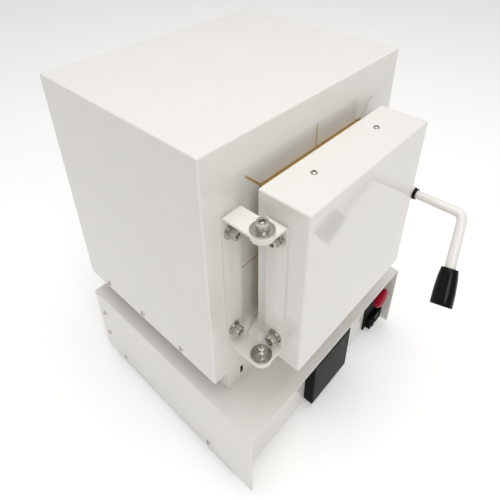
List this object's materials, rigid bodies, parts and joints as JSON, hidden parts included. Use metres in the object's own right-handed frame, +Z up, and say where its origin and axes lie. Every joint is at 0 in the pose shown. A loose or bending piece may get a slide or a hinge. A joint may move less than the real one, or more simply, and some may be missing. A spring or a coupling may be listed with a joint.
{
  "type": "bench-top muffle furnace",
  "caption": "White sheet-steel bench-top muffle furnace on a plinth and control base, with a side-hung insulated door, turning lever latch, controller, rocker and stop button.",
  "frame": {"origin": "on the bench under the middle of the whole outline, lever and cable gland included", "axes": "+Z up, -Y is the door side, +X to the latch side (the viewer's right when facing the door)"},
  "size_m": [0.3894, 0.5026, 0.535],
  "materials": {
    "white_paint": "high-gloss white powder coat",
    "zinc_sheet": "zinc-plated sheet steel",
    "zinc_fasteners": "bright zinc-plated steel",
    "dark_steel": "blackened steel",
    "rubber": "black rubber",
    "black_gloss_plastic": "polished black plastic",
    "black_plastic": "fine-grained black plastic",
    "red_plastic": "glossy red plastic",
    "vermiculite_board": "golden-brown pressed vermiculite",
    "firebrick": "cream insulating firebrick",
    "insulating_wool": "white ceramic-fibre wool",
    "heating_wire": "oxidised resistance wire",
    "ceramic": "fired unglazed ceramic",
    "aluminium": "extruded aluminium",
    "grey_plastic": "grey moulded plastic"
  },
  "bodies": {
    "housing": {"base_floor": "zinc_sheet", "base_front_panel": "white_paint", "base_rear_cover": "white_paint", "base_screws": "zinc_fasteners", "base_shell": "white_paint", "cable_gland": "black_plastic", "casing_flat_washers": "zinc_fasteners", "casing_floor": "zinc_sheet", "casing_hinge_bolts": "zinc_fasteners", "casing_hinge_nuts": "zinc_fasteners", "casing_rear_cover": "white_paint", "casing_screws": "zinc_fasteners", "casing_shell": "white_paint", "casing_spring_washers": "zinc_fasteners", "controller_case": "black_plastic", "controller_window": "black_gloss_plastic", "element_terminals": "heating_wire", "front_board": "vermiculite_board", "hearth_plate": "ceramic", "heat_sink": "aluminium", "heating_coils": "heating_wire", "hinge_bracket_casing": "white_paint", "insulation_rear": "insulating_wool", "insulation_wrap": "insulating_wool", "keeper_screws": "zinc_fasteners", "latch_keeper": "white_paint", "lining_floor": "firebrick", "lining_left": "firebrick", "lining_rear": "firebrick", "lining_right": "firebrick", "lining_roof": "firebrick", "pivot_bolts": "zinc_fasteners", "plinth": "white_paint", "relay": "grey_plastic", "rocker_frame": "black_plastic", "rubber_feet": "rubber", "stop_collar": "black_plastic", "switch_plate": "black_plastic", "terminal_strip": "grey_plastic", "thermocouple_sheath": "ceramic"},
    "door": {"door_shell": "white_paint", "door_back_plate": "zinc_sheet", "door_filling": "insulating_wool", "door_plug": "vermiculite_board", "door_screws": "zinc_fasteners", "hinge_bracket_door": "white_paint", "door_hinge_bolts": "zinc_fasteners", "door_flat_washers": "zinc_fasteners", "door_spring_washers": "zinc_fasteners", "door_hinge_nuts": "zinc_fasteners", "latch_bush": "white_paint"},
    "latch": {"latch_rod": "white_paint", "latch_grip": "black_gloss_plastic", "latch_collar": "dark_steel", "latch_tongue": "zinc_fasteners"},
    "stop_button": {"stop_button": "red_plastic"},
    "rocker": {"rocker": "black_gloss_plastic"}
  },
  "joints": [
    {"name": "door_swing", "type": "hinge", "parent": "housing", "child": "door", "pos_m": [-0.1497, -0.10668, 0.358], "axis": [0, 0, -1], "range_deg": [0, 170]},
    {"name": "latch_turn", "type": "hinge", "parent": "door", "child": "latch", "pos_m": [0.1345, -0.14468, 0.3555], "axis": [0, -1, 0], "range_deg": [0, 90]},
    {"name": "stop_press", "type": "slide", "parent": "housing", "child": "stop_button", "axis": [0, 1, 0], "range_m": [0, 0.0045], "stiffness_N_per_m": 400, "springref_m": -0.003},
    {"name": "rocker_tip", "type": "hinge", "parent": "housing", "child": "rocker", "pos_m": [0.1665, -0.11168, 0.027], "axis": [0, 0, -1], "range_deg": [0, 16]}
  ]
}
